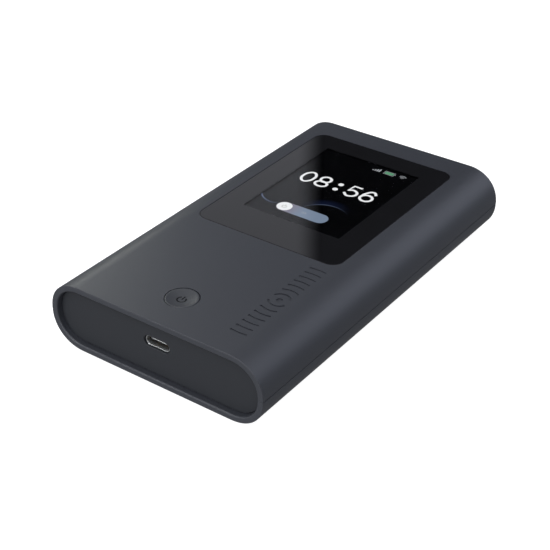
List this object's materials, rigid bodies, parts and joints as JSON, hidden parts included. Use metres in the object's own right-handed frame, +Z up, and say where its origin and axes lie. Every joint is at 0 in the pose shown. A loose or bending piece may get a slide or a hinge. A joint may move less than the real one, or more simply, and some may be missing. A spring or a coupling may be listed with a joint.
{
  "type": "mobile hotspot",
  "caption": "Flat pocket mobile hotspot: rounded two-shell case with recessed ends, a colour display under cover glass, a dished power button, a USB-C port and a SIM tray.",
  "frame": {"origin": "under the middle of the case, on the plane its four feet rest on", "axes": "+Z up through the display, +Y along the case away from the USB-C end, +X to the right seen from the USB-C end with the display up"},
  "size_m": [0.078, 0.1346, 0.0229],
  "materials": {
    "shell_abs": "fine matt moulded ABS/PC, blue-grey",
    "panel_abs": "fine matt moulded ABS, darker grey",
    "button_abs": "fine matt moulded ABS, dished",
    "cover_glass": "clear cover glass with a black printed border",
    "display_glass": "colour display, black with white digits when lit",
    "adhesive_tape": "black foam tape",
    "white_plastic": "moulded ivory nylon",
    "black_plastic": "moulded black LCP",
    "stamped_steel": "tinned stamped steel",
    "nickel_steel": "nickel-plated drawn steel",
    "plated_screw": "black zinc-plated steel",
    "gilded_brass": "stamped brass",
    "polyimide_flex": "amber polyimide film",
    "board_resin": "green solder mask over glass epoxy",
    "chip_epoxy": "moulded black epoxy",
    "silicone": "grey silicone",
    "silicone_foot": "matt black silicone",
    "battery_foil": "satin aluminium-laminate pouch",
    "sim_card_pvc": "white card with gold contacts",
    "red_wire": "red silicone insulation",
    "black_wire": "black silicone insulation",
    "label_film": "blank satin polyester label"
  },
  "bodies": {
    "case": {"top_shell": "shell_abs", "bottom_shell": "shell_abs", "front_end_panel": "panel_abs", "rear_end_panel": "panel_abs", "cover_glass": "cover_glass", "glass_adhesive": "adhesive_tape", "lcd_panel": "display_glass", "lcd_backlight": "white_plastic", "lcd_bracket": "stamped_steel", "lcd_flex": "polyimide_flex", "lcd_connector": "black_plastic", "button_return_pad": "silicone", "button_retainer": "black_plastic", "power_switch_body": "black_plastic", "modem_shield": "stamped_steel", "modem_chip": "chip_epoxy", "processor_shield": "stamped_steel", "processor_chip": "chip_epoxy", "power_shield": "stamped_steel", "power_chip": "chip_epoxy", "thermal_pad": "silicone", "main_board": "board_resin", "usb_shell": "nickel_steel", "usb_insulator": "black_plastic", "lte_antenna_left": "white_plastic", "lte_antenna_right": "white_plastic", "wifi_antenna_left": "gilded_brass", "wifi_antenna_right": "gilded_brass", "sim_socket": "stamped_steel", "reset_switch_body": "black_plastic", "battery_cell": "battery_foil", "battery_adhesive": "adhesive_tape", "battery_protection_board": "board_resin", "battery_lead_positive": "red_wire", "battery_lead_negative": "black_wire", "battery_connector": "white_plastic", "battery_plug": "white_plastic", "rating_label": "label_film", "case_screw_1": "plated_screw", "board_screw_1": "plated_screw", "foot_1": "silicone_foot", "case_screw_2": "plated_screw", "board_screw_2": "plated_screw", "foot_2": "silicone_foot", "case_screw_3": "plated_screw", "board_screw_3": "plated_screw", "foot_3": "silicone_foot", "case_screw_4": "plated_screw", "board_screw_4": "plated_screw", "foot_4": "silicone_foot"},
    "power_button": {"power_button": "button_abs"},
    "power_switch_plunger": {"power_switch_plunger": "black_plastic"},
    "sim_tray": {"sim_tray": "panel_abs", "nano_sim_card": "sim_card_pvc"},
    "reset_plunger": {"reset_switch_plunger": "white_plastic"}
  },
  "joints": [
    {"name": "power_button_press", "type": "slide", "parent": "case", "child": "power_button", "axis": [0, 0, -1], "range_m": [0, 0.0003], "stiffness_N_per_m": 1000, "springref_m": -0.0005, "deforming": ["button_return_pad"]},
    {"name": "power_switch_press", "type": "slide", "parent": "case", "child": "power_switch_plunger", "axis": [0, 0, -1], "range_m": [0, 0.0003]},
    {"name": "sim_tray_slide", "type": "slide", "parent": "case", "child": "sim_tray", "axis": [0, 1, 0], "range_m": [0, 0.016]},
    {"name": "reset_press", "type": "slide", "parent": "case", "child": "reset_plunger", "axis": [0, -1, 0], "range_m": [0, 0.00025], "stiffness_N_per_m": 1000, "springref_m": -0.0005}
  ],
  "couplings": [
    {"joint": "power_switch_press", "follows": "power_button_press", "ratio": 1}
  ]
}
